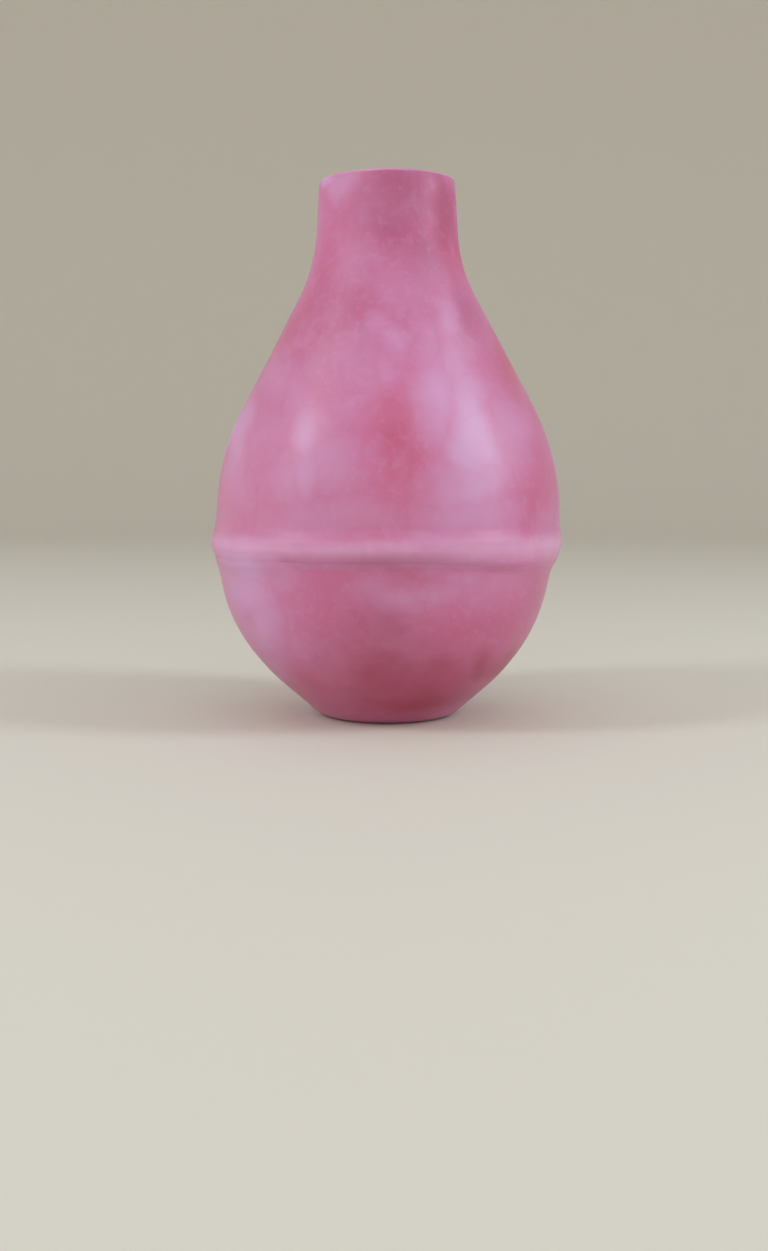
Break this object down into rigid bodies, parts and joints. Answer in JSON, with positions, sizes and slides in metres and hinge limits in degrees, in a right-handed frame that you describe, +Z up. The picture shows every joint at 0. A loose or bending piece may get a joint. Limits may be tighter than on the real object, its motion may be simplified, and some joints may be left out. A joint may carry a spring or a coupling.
{
  "type": "pipette filler bulb",
  "caption": "Pear-shaped rubber squeeze bulb with a beaded seam, a flat foot and a tapered bush in its neck, for drawing liquid into a pipette.",
  "frame": {"origin": "middle of the flat foot", "axes": "+Z up along the bulb's axis, from the foot to the mouth"},
  "size_m": [0.0518, 0.0518, 0.0782],
  "materials": {
    "upper_rubber": "satin pink rubber with a cloudy bloom",
    "lower_rubber": "satin pink rubber with a cloudy bloom",
    "bush_plastic": "milky satin plastic"
  },
  "bodies": {
    "neck": {"upper_shell": "upper_rubber", "neck_insert": "bush_plastic"},
    "base": {"lower_shell": "lower_rubber"}
  },
  "joints": [
    {"name": "base_press", "type": "slide", "parent": "neck", "child": "base", "axis": [0, 0, 1], "range_m": [0, 0.014], "stiffness_N_per_m": 700, "springref_m": -0.002, "deforming": ["lower_shell"]}
  ]
}
